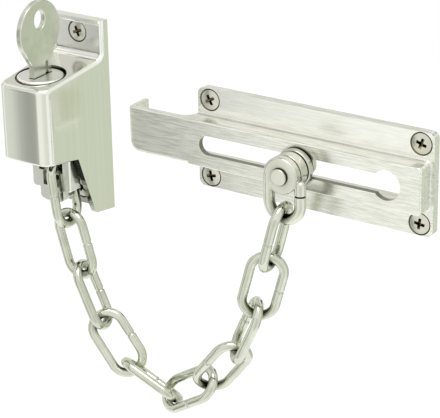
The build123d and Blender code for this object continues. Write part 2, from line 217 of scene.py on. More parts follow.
# each metal from its darkest streak to its lightest, with the reach and strength of painted shade in gaps
nickelLook = {
    "trackNickel": {
        "dark": rgb(0.74, 0.75, 0.67), "light": rgb(0.93, 0.935, 0.88),
        "rough": 0.25, "reach": 0.0012, "creviceShade": 1.0, "sunk": trackShadeTone, "brush": trackBrush,
    },
    "housingNickel": {
        "dark": rgb(0.76, 0.775, 0.70), "light": rgb(0.88, 0.895, 0.82),
        "rough": 0.17, "reach": 0.0012, "creviceShade": 0.6, "sunk": housingShadeTone, "brush": housingBrush,
    },
    "blockNickel": {
        "dark": rgb(0.80, 0.82, 0.76), "light": rgb(0.92, 0.94, 0.89),
        "rough": 0.22, "reach": 0.002, "creviceShade": 0.4, "brush": housingBrush,
    },
    "screwNickel": {
        "dark": rgb(0.54, 0.54, 0.45), "light": rgb(0.78, 0.78, 0.69),
        "rough": 0.2, "reach": 0.0006, "creviceShade": 1.0, "sunk": recessShadeTone,
    },
    "sliderNickel": {
        "dark": rgb(0.62, 0.625, 0.53), "light": rgb(0.79, 0.795, 0.71),
        "rough": 0.18, "reach": 0.003, "creviceShade": 1.5,
    },
    "lockNickel": {
        "dark": rgb(0.70, 0.71, 0.66), "light": rgb(0.84, 0.85, 0.80),
        "rough": 0.32, "reach": 0.0006, "creviceShade": 0.4,
    },
    "keyNickel": {
        "dark": rgb(0.60, 0.62, 0.53), "light": rgb(0.74, 0.76, 0.67),
        "rough": 0.24, "reach": 0.001, "creviceShade": 0.8,
    },
    "chainNickel": {
        "dark": rgb(0.52, 0.54, 0.44), "light": rgb(0.74, 0.76, 0.66),
        "rough": 0.12, "reach": 0.0024, "creviceShade": 1.2,
    },
}


def nickel(name, dark, light, rough, reach, creviceShade, sunk=paintedShadeTone, brush=None):
    # face attributes paint light and shade: pale lightens towards a painted light tone, clean keeps the
    # painted shade of gaps away, shade turns to the sunk tone, a painted shade
    paint = Paint(name, Metallic=1.0)
    if brush:
        grain = paint.noise(streaked(brush["fine"], brush["along"], brush["axis"]), **fineNoise)
        band = paint.noise(streaked(brush["broad"], brush["broadAlong"], brush["axis"]))
        spread = (grain - 0.5) * brush["contrast"] + (band - 0.5) * brush["bandContrast"] + 0.5
        relief = {"Strength": brush["relief"], "Distance": brush["deep"], "Height": grain}
    else:
        grain = paint.noise(evenly(tumbled["cloud"]), **fineNoise)
        spread = (grain - 0.5) * tumbled["contrast"] + 0.5
        ripple = paint.noise(evenly(tumbled["ripple"]))
        relief = {"Strength": tumbled["relief"], "Distance": tumbled["deep"], "Height": ripple}
    metal = paint.mixed(spread, dark, light)
    # painted light where pale is set, then painted shade in gaps and on faces marked shade
    metal = paint.mixed(paint.attribute("pale"), metal, paintedLightTone)
    gapShade = paint.crevice(reach) * creviceShade * (1 - paint.attribute("clean"))
    metal = paint.mixed(gapShade.atMost(1.0), metal, paintedShadeTone)
    paint.feed("Base Color", paint.mixed(paint.attribute("shade"), metal, sunk))
    paint.feed("Roughness", (grain - 0.5) * roughSpread + rough)
    paint.feed("Normal", paint.add("ShaderNodeBump", inputs=relief))
    return paint.material


brassLook = {
    "dark": rgb(0.42, 0.31, 0.14), "light": rgb(0.62, 0.49, 0.25),
    "cloud": 300.0, "reach": 0.002, "rough": 0.38, "roughSpread": 0.2,
}


def bareBrass(name, look):
    paint = Paint(name, Metallic=1.0)
    cloud = paint.noise(evenly(look["cloud"]), **fineNoise)
    brass = paint.mixed(cloud, look["dark"], look["light"])
    # painted shade in gaps, from ambient occlusion
    paint.feed("Base Color", paint.mixed(paint.crevice(look["reach"]), brass, paintedShadeTone))
    paint.feed("Roughness", (cloud - 0.5) * look["roughSpread"] + look["rough"])
    return paint.material


metals = {name: nickel(name, **look) for name, look in nickelLook.items()}
finishes = {
    "track_metal": metals["trackNickel"],
    "screws": metals["screwNickel"],
    "slider_metal": metals["sliderNickel"],
    "eye_metal": metals["sliderNickel"],
    "chain_metal": metals["chainNickel"],
    "housing_metal": metals["housingNickel"],
    "lock_metal": metals["lockNickel"],
    "lock_brass": bareBrass("innerBrass", brassLook),
    "key_metal": metals["keyNickel"],
    "block_metal": metals["blockNickel"],
}
for name, part in subparts.items():
    slots = nodes[name].data.materials
    slots.clear()
    slots.append(finishes[part["material_slot"]])
print("finishes set")

weldReach = 1e-6


def mergedCopy(nodeName, flatAngle=0.5):
    # the node's triangles joined, flat faces whole again
    shape = bmesh.new()
    shape.from_mesh(nodes[nodeName].data)
    bmesh.ops.remove_doubles(shape, verts=shape.verts, dist=weldReach)
    if flatAngle:
        limit = math.radians(flatAngle)
        bmesh.ops.dissolve_limit(shape, angle_limit=limit, verts=shape.verts, edges=shape.edges)
    return shape


def plainMesh(shape, name):
    mesh = bpy.data.meshes.new(name)
    shape.to_mesh(mesh)
    shape.free()
    made = bpy.data.objects.new(name, mesh)
    scene.collection.objects.link(made)
    return made


def applied(made):
    # modifiers turned into the object's own mesh
    bpy.context.view_layer.update()
    depsgraph = bpy.context.evaluated_depsgraph_get()
    mesh = bpy.data.meshes.new_from_object(made.evaluated_get(depsgraph), depsgraph=depsgraph)
    made.modifiers.clear()
    made.data = mesh
    return made


def standIn(made, nodeName):
    # the piece takes the node's place, finish and body
    slotName = subparts[nodeName]["material_slot"]
    made.data.materials.clear()
    made.data.materials.append(finishes[slotName])
    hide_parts(nodeName)
    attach(made, bodyOf[nodeName])
    return made


def smoothed(made, sharpAngle):
    made.data.shade_smooth()
    made.data.set_sharp_from_angle(angle=math.radians(sharpAngle))
    return made


def markFaces(made, test, amount, name="shade"):
    # faces that the test picks get a value for the finish, the same for all or by their place
    mesh = made.data
    layer = mesh.attributes.get(name) or mesh.attributes.new(name, "FLOAT", "FACE")
    for face in mesh.polygons:
        if test(face.center, face.normal):
            layer.data[face.index].value = amount(face.center) if callable(amount) else amount


# machined and cast pieces: broken edges on merged copies of their nodes
edgeWidth = {
    "track": 0.00022,
    "lock_housing": 0.0003,
    "end_block": 0.0003,
    "key": 0.00012,
    "lock_plug": 0.00012,
    "lock_barrel": 0.00012,
    "slider_stud": 0.00015,
    "slider_spool": 0.00015,
    "block_pin": 0.0002,
}
edgeLook = {"steps": 2, "sharp": 30, "limit": 35}   # angles in degrees
crownLook = {
    "crown": 0.00055,       # front's middle over its sides
    "fromY": -0.016,        # the crown fades out there
    "cuts": 11,
    "cutSpan": 0.62,
    "lowRound": 0.001,
    "lowSteps": 4,
    "frontDeep": 0.006,
    "frontSkin": 0.0005,
    "lowSlack": 0.0001,
    "lowBand": 0.0017,
    "outerHalf": 0.0088,
    "wallThick": 0.0015,
    "sharp": 0.9,           # radians between the edge's faces
}
roomCuts = (-0.012, -0.014, -0.016, -0.018, -0.020, -0.022, -0.024, -0.026, -0.028, -0.030)
barrelCuts = (0.1, 0.2, 0.3, 0.4, 0.5)


def cutAcross(shape, axis, places):
    # flat faces cut into strips at places along an axis, so that their shading can vary
    normal = Vector()
    normal[axis] = 1
    for place in places:
        geometry = list(shape.verts) + list(shape.edges) + list(shape.faces)
        bmesh.ops.bisect_plane(
            shape, geom=geometry, dist=weldReach, plane_co=normal * place, plane_no=normal,
        )


def roundLowEdge(shape, low, middle):
    # the casting's lower edge, round its front and sides
    skin = low.y + crownLook["frontSkin"]
    wall = low.y + crownLook["wallThick"]
    frontLow = min(vertex.co.z for vertex in shape.verts if vertex.co.y < skin)
    edges = []
    for edge in shape.edges:
        ends = [vertex.co for vertex in edge.verts]
        under = max(point.z for point in ends) < frontLow + crownLook["lowSlack"]
        under = under and min(point.z for point in ends) > frontLow - crownLook["lowBand"]
        front = max(point.y for point in ends) < crownLook["fromY"]
        outer = all(abs(point.x - middle) > crownLook["outerHalf"] or point.y < wall for point in ends)
        if under and front and outer and edge.is_manifold and edge.calc_face_angle() > crownLook["sharp"]:
            edges.append(edge)
    bmesh.ops.bevel(
        shape, geom=edges, offset=crownLook["lowRound"], segments=crownLook["lowSteps"],
        profile=0.5, affect="EDGES", clamp_overlap=True,
    )
    print("lower edges rounded", len(edges))


def crownHousing(shape):
    # the casting's front stands a little proud in the middle
    low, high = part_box("lock_housing")
    middle = (low.x + high.x) / 2
    deep = low.y + crownLook["frontDeep"]
    frontHalf = max(abs(vertex.co.x - middle) for vertex in shape.verts if vertex.co.y < deep)
    roundLowEdge(shape, low, middle)
    count = crownLook["cuts"] + 1
    shares = [2 * step / count - 1 for step in range(1, count)]
    cutAcross(shape, 0, [middle + frontHalf * share * crownLook["cutSpan"] for share in shares])
    cutAcross(shape, 2, roomCuts)
    for vertex in shape.verts:
        share = (vertex.co.y - crownLook["fromY"]) / (low.y - crownLook["fromY"])
        if share > 0:
            sideways = (vertex.co.x - middle) / frontHalf
            vertex.co.y += crownLook["crown"] * sideways ** 2 * min(1.0, share)


for nodeName, width in edgeWidth.items():
    shape = mergedCopy(nodeName)
    if nodeName == "lock_housing":
        crownHousing(shape)
    if nodeName == "lock_barrel":
        low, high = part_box(nodeName)
        cutAcross(shape, 1, [low.y + (high.y - low.y) * share for share in barrelCuts])
    piece = plainMesh(shape, nodeName + "Skin")
    smoothed(piece, edgeLook["sharp"])
    bevel = piece.modifiers.new("brokenEdge", "BEVEL")
    bevel.width = width
    bevel.segments = edgeLook["steps"]
    bevel.limit_method = "ANGLE"
    bevel.angle_limit = math.radians(edgeLook["limit"])
    bevel.use_clamp_overlap = True
    bevel.harden_normals = False
    level = piece.modifiers.new("flatFaces", "WEIGHTED_NORMAL")
    level.keep_sharp = True
    applied(piece)
    standIn(piece, nodeName)
print("edges broken")

# which way a face looks, by its normal
facing = {"flat": 0.9, "roof": 0.8, "steep": 0.5, "back": 0.35, "slant": 0.3, "under": 0.1}
# track: painted shade on the slot's walls and the screws' seats, painted light on the plate
trackLook = {
    "slotDark": 0.8,
    "slotHigh": 0.0052,
    "slotSkin": 0.0001,
    "slotDeep": 0.0026,
    "leftInset": 0.0027,
    "rightInset": 0.0035,
    "platePale": 0.6,
    "plateSlack": 0.001,
}
sinkLook = {"dark": 0.95, "reach": 0.0039}
# housing: painted shade in the room under the lock, on the fins' slanted edges and in the screws' seats,
# painted light in the screw pocket
roomLook = {
    "dark": 0.88,
    "pale": 0.3,
    "low": -0.031,
    "high": -0.026,
    "roof": -0.0195,
    "roofPale": 0.2,
    "top": 0.0043,
    "front": -0.027,
    "middle": -0.017,
    "back": -0.0029,
    "half": 0.0098,
    "slack": 1e-5,
}
finLook = {"dark": 1.0, "pale": 0.3, "deep": 0.0105, "fade": 0.003, "top": -0.010}
pocketLook = {"pale": 0.85, "over": 0.0005, "back": -0.001}
# lock: painted shade in the ring round its face, dark at the back, and in the keyway, with painted light at
# the ring's front
lockLook = {
    "boreDark": 0.8,
    "borePale": 0.0,
    "boreReach": 0.0088,
    "fadeSlope": 2.6,
    "fadeStart": 0.9,
    "brightBelow": 0.05,
    "keywayDark": 0.95,
    "keywayReach": 0.0056,
    "rimReach": 0.0070,
}
# painted light on the end block's outward faces, painted shade on the slider's back faces
blockPale = 0.4
sliderBackDark = 0.85
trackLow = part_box("track")[0]
headLow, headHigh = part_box("track_screws")
plugLow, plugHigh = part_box("lock_plug")
housingLow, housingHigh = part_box("lock_housing")


def between(pale, dark, share):
    return pale + (dark - pale) * min(1.0, max(0.0, share))


def everywhere(centre, normal):
    return True


def facesOut(centre, normal):
    return normal.y < -facing["steep"] or normal.z > facing["steep"]


def facesWall(centre, normal):
    return normal.y > facing["back"]


def inSlot(centre, normal):
    deep = centre.y - trackLow.y
    inWall = trackLook["slotSkin"] < deep < trackLook["slotDeep"]
    inLength = -headHigh.x + trackLook["leftInset"] < centre.x < headHigh.x - trackLook["rightInset"]
    return inWall and inLength and abs(centre.z) < trackLook["slotHigh"] and abs(normal.y) < facing["steep"]


def onPlate(centre, normal):
    # the track's plate, above and below the channel
    atBack = centre.y > headLow.y - trackLook["plateSlack"]
    return atBack and normal.y < -facing["steep"] and abs(centre.z) > trackLook["slotHigh"]


def inSink(places):
    # the countersinks round some screws
    def test(centre, normal):
        for spot in places:
            offset = Vector((centre.x - spot.x, 0, centre.z - spot.z))
            inward = normal.dot(offset) < 0 and abs(normal.y) < facing["flat"]
            if inward and offset.length < sinkLook["reach"]:
                return True
        return False
    return test


def inRoom(centre, normal):
    # inside faces look towards the room's middle
    offset = centre.x - (housingLow.x + housingHigh.x) / 2
    within = roomLook["front"] <= centre.y <= roomLook["back"] and centre.z <= roomLook["top"]
    sideways = normal.x * offset < -roomLook["slack"]
    ahead = normal.y * (centre.y - roomLook["middle"]) < -roomLook["slack"]
    roof = normal.z < -facing["roof"] and centre.z > 0
    return within and abs(offset) < roomLook["half"] and (sideways or ahead or roof)


def roomShade(centre):
    # painted shade, darkest beside the block and light under the roof
    if centre.z > roomLook["roof"]:
        return roomLook["roofPale"]
    share = (centre.z - roomLook["low"]) / (roomLook["high"] - roomLook["low"])
    return between(roomLook["pale"], roomLook["dark"], share)


def onFin(centre, normal):
    # the slanted front edges of the housing's fins
    ahead = abs(normal.x) < facing["steep"] and normal.y < -facing["slant"] and normal.z < -facing["under"]
    return ahead and centre.z < finLook["top"] and centre.y > roomLook["front"]


def inPocket(centre, normal):
    # the housing's upper recess and its ledge
    above = centre.z > plugHigh.z + pocketLook["over"]
    return above and normal.y < -facing["slant"] and centre.y < pocketLook["back"]


def fromPlug(centre):
    # a place seen from the lock's axis
    middle = (plugLow + plugHigh) / 2
    return Vector((centre.x - middle.x, centre.y - middle.y))


def inBore(centre, normal):
    offset = fromPlug(centre)
    inward = normal.xy.dot(offset) < 0 and abs(normal.z) < facing["steep"]
    return inward and offset.length < lockLook["boreReach"] and centre.z > roomLook["top"]


def inKeyway(centre, normal):
    return fromPlug(centre).length < lockLook["keywayReach"] and abs(normal.z) < facing["steep"]


def onRim(centre, normal):
    # the round edge of the plug's face
    return fromPlug(centre).length > lockLook["rimReach"] and abs(normal.z) < facing["flat"]


def boreShade(centre):
    # painted shade in the ring round the lock, deep at the back and shallow at the front
    share = (centre.y - plugLow.y) / (plugHigh.y - plugLow.y)
    share = share * lockLook["fadeSlope"] - lockLook["fadeStart"]
    return between(lockLook["borePale"], lockLook["boreDark"], share)


def boreFrontLight(centre):
    # the front of the ring gets painted light and no painted shade of gaps
    return 1.0 if boreShade(centre) < lockLook["brightBelow"] else 0.0


housingFaces = bpy.data.objects["lock_housingSkin"].data.polygons
finTop = max(face.center.z for face in housingFaces if onFin(face.center, face.normal))


def finShade(centre):
    # painted shade, black at the top, where the fin stands close to the block
    share = (centre.z - (finTop - finLook["deep"])) / finLook["fade"] + 0.5
    return between(finLook["pale"], finLook["dark"], share)


def islandBoxes(nodeName):
    # the box of each separate solid in a node
    shape = mergedCopy(nodeName, 0)
    boxes = []
    left = set(shape.verts)
    while left:
        pile = [left.pop()]
        seen = list(pile)
        while pile:
            for edge in pile.pop().link_edges:
                for vertex in edge.verts:
                    if vertex in left:
                        left.remove(vertex)
                        pile.append(vertex)
                        seen.append(vertex)
        spans = [[vertex.co[axis] for vertex in seen] for axis in range(3)]
        boxes.append((Vector([min(span) for span in spans]), Vector([max(span) for span in spans])))
    shape.free()
    # a set has no fixed order, so they are sorted: upper row first, each row from the left
    boxes.sort(key=lambda box: (box[0].z < 0, box[0].x))
    return boxes


screwBoxes = {name: islandBoxes(name) for name in ("track_screws", "housing_screws")}
screwSpots = {name: [(low + high) / 2 for low, high in boxes] for name, boxes in screwBoxes.items()}
# painted light and shade, in this order, because a later mark lies over an earlier one
marks = (
    ("track", inSlot, trackLook["slotDark"], "shade"),
    ("track", inSink(screwSpots["track_screws"]), sinkLook["dark"], "shade"),
    ("track", onPlate, trackLook["platePale"], "pale"),
    ("lock_housing", inPocket, pocketLook["pale"], "pale"),
    ("lock_housing", inRoom, roomShade, "shade"),
    ("lock_housing", inBore, boreShade, "shade"),
    ("lock_housing", onFin, finShade, "shade"),
    ("lock_housing", inBore, boreFrontLight, "pale"),
    ("lock_housing", inBore, boreFrontLight, "clean"),
    ("lock_housing", inSink(screwSpots["housing_screws"]), sinkLook["dark"], "shade"),
    ("end_block", facesOut, blockPale, "pale"),
    ("end_block", facesOut, 1.0, "clean"),
    ("lock_plug", inKeyway, lockLook["keywayDark"], "shade"),
    ("lock_plug", onRim, boreFrontLight, "pale"),
    ("lock_plug", onRim, boreFrontLight, "clean"),
    ("lock_barrel", everywhere, boreFrontLight, "pale"),
    ("lock_barrel", everywhere, boreFrontLight, "clean"),
    ("lock_barrel", everywhere, boreShade, "shade"),
    ("slider_spool", facesWall, sliderBackDark, "shade"),
    ("slider_stud", facesWall, sliderBackDark, "shade"),
)
for nodeName, test, amount, name in marks:
    markFaces(bpy.data.objects[nodeName + "Skin"], test, amount, name)
print("faces marked")

# eye: one forged piece, blended where its legs leave the disc
eyeLook = {"grain": 0.00016, "blend": 6, "blendFactor": 0.5, "sharp": 180, "backDark": 0.5}
eye = plainMesh(mergedCopy("eye", 0), "eyeForging")
remesh = eye.modifiers.new("remesh", "REMESH")
remesh.mode = "VOXEL"
remesh.voxel_size = eyeLook["grain"]
soften = eye.modifiers.new("soften", "SMOOTH")
soften.iterations = eyeLook["blend"]
soften.factor = eyeLook["blendFactor"]
applied(eye)
smoothed(eye, eyeLook["sharp"])
# painted shade on the eye's back faces
markFaces(eye, facesWall, eyeLook["backDark"])
standIn(eye, "eye")
print("eye forged", len(eye.data.polygons), "faces")

# chain links: one wire bent round a stadium, its ends meeting in a leg
linkLook = {
    "count": 10,
    "long": 0.0258,
    "wide": 0.0141,
    "wire": 0.0032,
    "seamWide": 0.0005,
    "seamDeep": 0.2,        # share of the wire's radius
    "seamReach": 0.0003,
    "ring": 264,            # points along the wire
    "round": 24,            # points round it
    "bendSteps": 40,
    "bendShare": 0.4999,    # of the width, just under a half circle
    "axisPasses": 4,
}


def groupInput(tree, name, kind, value=None):
    made = tree.interface.new_socket(name, in_out="INPUT", socket_type=kind)
    if value is not None:
        made.default_value = value
    return made.identifier


def groupEnd(graph, geometry, metal):
    # every tree ends in real geometry with its metal
    whole = graph.add("GeometryNodeRealizeInstances", inputs={0: geometry})
    whole = graph.add("GeometryNodeSetMaterial", inputs={"Geometry": whole, "Material": metal})
    graph.tree.links.new(whole.socket, graph.tree.nodes.new("NodeGroupOutput").inputs[0])


def linkTree(look):
    tree = bpy.data.node_groups.new("bentLink", "GeometryNodeTree")
    inputs = {
        "Length": look["long"],
        "Width": look["wide"],
        "Wire": look["wire"],
        "Seam Width": look["seamWide"],
        "Seam Depth": look["seamDeep"],
    }
    keys = {name: groupInput(tree, name, "NodeSocketFloat", value) for name, value in inputs.items()}
    keys["Metal"] = groupInput(tree, "Metal", "NodeSocketMaterial")
    tree.interface.new_socket("Geometry", in_out="OUTPUT", socket_type="NodeSocketGeometry")
    graph = Graph(tree)
    given = graph.add("NodeGroupInput")
    long = given.named("Length") - given.named("Wire")
    wide = given.named("Width") - given.named("Wire")
    path = graph.add("GeometryNodeCurvePrimitiveQuadrilateral", inputs={0: long, 1: wide})
    values = {"Curve": path, "Count": look["bendSteps"], "Radius": wide * look["bendShare"]}
    path = graph.add("GeometryNodeFilletCurve", {"mode": "POLY"}, values)
    values = {"Curve": path, "Count": look["ring"]}
    path = graph.add("GeometryNodeResampleCurve", {"mode": "COUNT"}, values)
    along = graph.add("ShaderNodeSeparateXYZ", inputs={0: graph.add("GeometryNodeInputPosition")})
    near = (1 - abs(along) / given.named("Seam Width")).atLeast(0.0)
    onLeg = along.named("Y") > 0.0
    radius = 1 - near * onLeg * given.named("Seam Depth")
    path = graph.add("GeometryNodeSetCurveRadius", inputs={"Curve": path, "Radius": radius})
    values = {"Resolution": look["round"], "Radius": given.named("Wire") * 0.5}
    section = graph.add("GeometryNodeCurvePrimitiveCircle", inputs=values)
    values = {"Curve": path, "Profile Curve": section, "Scale": graph.add("GeometryNodeInputRadius")}
    wire = graph.add("GeometryNodeCurveToMesh", inputs=values)
    wire = graph.add("GeometryNodeSetShadeSmooth", inputs={0: wire})
    groupEnd(graph, wire, given.named("Metal"))
    return tree, keys


def linkPlace(nodeName):
    # centre, long axis and seam leg of a link, from its own points
    low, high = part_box(nodeName)
    centre = (low + high) / 2
    offsets = [vertex.co - centre for vertex in nodes[nodeName].data.vertices]
    along = max(offsets, key=lambda offset: offset.length).normalized()
    for turn in range(linkLook["axisPasses"]):
        total = Vector()
        for offset in offsets:
            total += offset * offset.dot(along)
        along = total.normalized()
    seam = Vector()
    for offset in offsets:
        if abs(offset.dot(along)) < linkLook["seamReach"]:
            seam += offset
    across = (seam - along * seam.dot(along)).normalized()
    axes = Matrix((along, across, along.cross(across))).transposed().to_4x4()
    return Matrix.Translation(centre) @ axes


bentLink, linkKeys = linkTree(linkLook)
for number in range(1, linkLook["count"] + 1):
    nodeName = f"link_{number}"
    piece = bpy.data.objects.new(f"chainLink{number}", bpy.data.meshes.new(f"chainLink{number}"))
    scene.collection.objects.link(piece)
    bend = piece.modifiers.new("bend", "NODES")
    bend.node_group = bentLink
    bend[linkKeys["Metal"]] = finishes["chain_metal"]
    applied(piece)
    piece.data.transform(linkPlace(nodeName))
    standIn(piece, nodeName)
print("links bent", len(piece.data.polygons), "faces each")

# wood screws: countersunk crowned head with a cross recess, short thread behind the wall
screwLook = {
    "headWide": 0.00675,
    "crown": 0.00035,
    "crownSteps": 8,
    "headDeep": 0.00175,
    "shankWide": 0.0032,
    "round": 48,
    "headSharp": 35,
    "recessLong": 0.0042,
    "recessWide": 0.00115,
    "recessDeep": 0.0012,
    "recessTaper": 0.45,
    "recessSlack": 0.0002,
    "recessLip": 0.0004,
    "floorSlack": 0.0001,
    "crownFlat": 0.95,
    "threadWide": 0.0035,
    "threadCore": 0.0027,
    "threadTurns": 3.5,
    "threadRings": 44,
    "threadRound": 24,
    "threadSharp": 60,
    "pointShare": 0.2,
    "pointWide": 0.3,
    # radians, in the order of islandBoxes
    "turns": {"track_screws": (0.5, -0.35, 0.2, -0.15), "housing_screws": (0.35, 0.9)},
}


def ringPoint(shape, radius, share, height):
    angle = 2 * math.pi * share
    return shape.verts.new((radius * math.cos(angle), radius * math.sin(angle), height))


def joinRings(shape, rings, around):
    # faces between neighbouring rings, where a ring of one point closes an end
    for upper, lower in zip(rings, rings[1:]):
        for step in range(around):
            after = (step + 1) % around
            left = [upper[step % len(upper)], lower[step % len(lower)]]
            right = [lower[after % len(lower)], upper[after % len(upper)]]
            shape.faces.new(list(dict.fromkeys(left + right)))


def makeCutter(look, turn):
    # one arm of the cross, narrower at its foot
    long = look["recessLong"] / 2
    wide = look["recessWide"] / 2
    top = look["crown"] + look["recessSlack"]
    foot = look["crown"] - look["recessDeep"]
    shape = bmesh.new()
    rings = []
    for share, height in ((1.0, top), (look["recessTaper"], foot)):
        corners = [(long, wide), (-long, wide), (-long, -wide), (long, -wide)]
        if turn:
            corners = [(-y, x) for x, y in corners]
        rings.append([shape.verts.new((x * share, y * share, height)) for x, y in corners])
    joinRings(shape, rings, 4)
    shape.faces.new(rings[0])
    shape.faces.new(list(reversed(rings[1])))
    bmesh.ops.recalc_face_normals(shape, faces=shape.faces)
    return plainMesh(shape, "recessCutter")


def makeHead(look):
    # head along +z with the plate's face at z = 0
    half = look["headWide"] / 2
    around = look["round"]
    profile = []
    for step in range(look["crownSteps"] + 1):
        share = step / look["crownSteps"]
        profile.append((half * share, look["crown"] * (1 - share ** 2)))
    profile += [(look["shankWide"] / 2, -look["headDeep"]), (0, -look["headDeep"])]
    shape = bmesh.new()
    rings = []
    for radius, height in profile:
        count = around if radius > 0 else 1
        rings.append([ringPoint(shape, radius, step / around, height) for step in range(count)])
    joinRings(shape, rings, around)
    head = plainMesh(shape, "screwHead")
    for turn in range(2):
        cutter = makeCutter(look, turn)
        cut = head.modifiers.new("recess", "BOOLEAN")
        cut.operation = "DIFFERENCE"
        cut.solver = "EXACT"
        cut.object = cutter
        applied(head)
        bpy.data.objects.remove(cutter)
    smoothed(head, look["headSharp"])
    foot = look["crown"] - look["recessDeep"]
    reach = look["recessLong"] / 2 + look["recessSlack"]

    def inRecess(centre, normal):
        near = centre.xy.length < reach and centre.z > foot - look["floorSlack"]
        onCrown = normal.z > look["crownFlat"] and centre.z > foot + look["recessLip"]
        return near and not onCrown and normal.z > -facing["steep"]

    # painted shade in the cross recess
    markFaces(head, inRecess, 1.0)
    return head


def makeThread(look):
    # one metre of thread along -z, scaled down to each screw's reach
    shape = bmesh.new()
    rings = []
    around = look["threadRound"]
    core = look["threadCore"] / 2
    rise = look["threadWide"] / 2 - core
    for level in range(look["threadRings"] + 1):
        share = level / look["threadRings"]
        taper = (1 - share) / look["pointShare"] * (1 - look["pointWide"]) + look["pointWide"]
        ring = []
        for step in range(around):
            turnShare = share * look["threadTurns"] - step / around
            ridge = 1 - abs((turnShare % 1.0) * 2 - 1)
            radius = (core + rise * max(0.0, ridge * 2 - 1)) * min(1.0, taper)
            ring.append(ringPoint(shape, radius, step / around, -share))
        rings.append(ring)
    joinRings(shape, rings, around)
    shape.faces.new(rings[0])
    shape.faces.new(list(reversed(rings[-1])))
    bmesh.ops.recalc_face_normals(shape, faces=shape.faces)
    return smoothed(plainMesh(shape, "screwThread"), look["threadSharp"])


def screwTree(look):
    tree = bpy.data.node_groups.new("screwRow", "GeometryNodeTree")
    tree.interface.new_socket("Geometry", in_out="OUTPUT", socket_type="NodeSocketGeometry")
    tree.interface.new_socket("Points", in_out="INPUT", socket_type="NodeSocketGeometry")
    keys = {
        "Head": groupInput(tree, "Head", "NodeSocketObject"),
        "Thread": groupInput(tree, "Thread", "NodeSocketObject"),
        "Head Deep": groupInput(tree, "Head Deep", "NodeSocketFloat", look["headDeep"]),
        "Metal": groupInput(tree, "Metal", "NodeSocketMaterial"),
    }
    graph = Graph(tree)
    given = graph.add("NodeGroupInput")
    turn = graph.add("GeometryNodeInputNamedAttribute", {"data_type": "FLOAT"}, {"Name": "turn"})
    reach = graph.add("GeometryNodeInputNamedAttribute", {"data_type": "FLOAT"}, {"Name": "reach"})
    forward = (math.pi / 2, 0, 0)
    own = graph.add("ShaderNodeCombineXYZ", inputs={"Z": turn})
    joined = graph.add("GeometryNodeJoinGeometry")
    for part in ("Head", "Thread"):
        source = graph.add("GeometryNodeObjectInfo", inputs={"Object": given.named(part)}).named("Geometry")
        values = {"Points": given.named("Points"), "Instance": source, "Rotation": forward}
        if part == "Thread":
            depth = reach - given.named("Head Deep")
            values["Scale"] = graph.add("ShaderNodeCombineXYZ", inputs={"X": 1.0, "Y": 1.0, "Z": depth})
        placed = graph.add("GeometryNodeInstanceOnPoints", inputs=values)
        placed = graph.add("GeometryNodeRotateInstances", inputs={"Instances": placed, "Rotation": own})
        if part == "Thread":
            drop = graph.add("ShaderNodeCombineXYZ", inputs={"Y": given.named("Head Deep")})
            values = {"Instances": placed, "Translation": drop, "Local Space": False}
            placed = graph.add("GeometryNodeTranslateInstances", inputs=values)
        tree.links.new(placed.socket, joined.socket.node.inputs[0])
    groupEnd(graph, joined, given.named("Metal"))
    return tree, keys


screwRow, screwKeys = screwTree(screwLook)
headShape = makeHead(screwLook)
threadShape = makeThread(screwLook)
for nodeName, boxes in screwBoxes.items():
    mesh = bpy.data.meshes.new(nodeName + "Row")
    spots = screwSpots[nodeName]
    places = [(spot.x, low.y + screwLook["crown"], spot.z) for spot, (low, high) in zip(spots, boxes)]
    mesh.from_pydata(places, [], [])
    turns = mesh.attributes.new("turn", "FLOAT", "POINT")
    reaches = mesh.attributes.new("reach", "FLOAT", "POINT")
    for index, (low, high) in enumerate(boxes):
        turns.data[index].value = screwLook["turns"][nodeName][index]
        reaches.data[index].value = high.y - low.y - screwLook["crown"]
    piece = bpy.data.objects.new(nodeName + "Row", mesh)
    scene.collection.objects.link(piece)
    row = piece.modifiers.new("row", "NODES")
    row.node_group = screwRow
    row[screwKeys["Head"]] = headShape
    row[screwKeys["Thread"]] = threadShape
    row[screwKeys["Metal"]] = finishes["screws"]
    applied(piece)
    standIn(piece, nodeName)
    print("screws set", nodeName, len(piece.data.polygons), "faces")
for template in (headShape, threadShape):
    bpy.data.objects.remove(template)

# camera at the photo's angle
cameraLook = {
    "azimuth": 33.85,
    "elevation": 22.92,
    "roll": -1.04,
    "distance": 0.63556,
    "target": Vector((-0.03731, 0.0, -0.0259)),
    "focalPixels": 1918.48,
    "imageWide": 440,
    "sensor": 36.0,
    "clipStart": 0.01,
}
turn = math.radians(cameraLook["azimuth"])
rise = math.radians(cameraLook["elevation"])
tilt = math.radians(cameraLook["roll"])
back = Vector((math.sin(turn) * math.cos(rise), -math.cos(turn) * math.cos(rise), math.sin(rise)))
level = Vector((0, 0, 1)).cross(back).normalized()
upright = back.cross(level)
camRight = math.cos(tilt) * level + math.sin(tilt) * upright
camUp = math.cos(tilt) * upright - math.sin(tilt) * level
camera = bpy.data.objects.new("camera", bpy.data.cameras.new("camera"))
scene.collection.objects.link(camera)
place = cameraLook["target"] + cameraLook["distance"] * back
camera.matrix_world = Matrix.Translation(place) @ Matrix((camRight, camUp, back)).transposed().to_4x4()
camera.data.sensor_width = cameraLook["sensor"]
camera.data.lens = cameraLook["focalPixels"] * cameraLook["sensor"] / cameraLook["imageWide"]
camera.data.clip_start = cameraLook["clipStart"]
scene.camera = camera
scene.view_settings.view_transform = "Standard"

# floor and world
studio = {
    "floorDrop": 0.30,
    "floorSize": 6.0,
    "floorTone": 0.9,
    "floorRough": 0.8,
    "floorLift": 0.2,
    "domeLight": 0.85,
}


def addPlane(name, wide, tall, spot, toward):
    x = wide / 2
    y = tall / 2
    mesh = bpy.data.meshes.new(name)
    mesh.from_pydata([(-x, -y, 0), (x, -y, 0), (x, y, 0), (-x, y, 0)], [], [(0, 1, 2, 3)])
    made = bpy.data.objects.new(name, mesh)
    made.location = spot
    made.rotation_euler = Vector(toward).to_track_quat("Z", "Y").to_euler()
    scene.collection.objects.link(made)
    return made


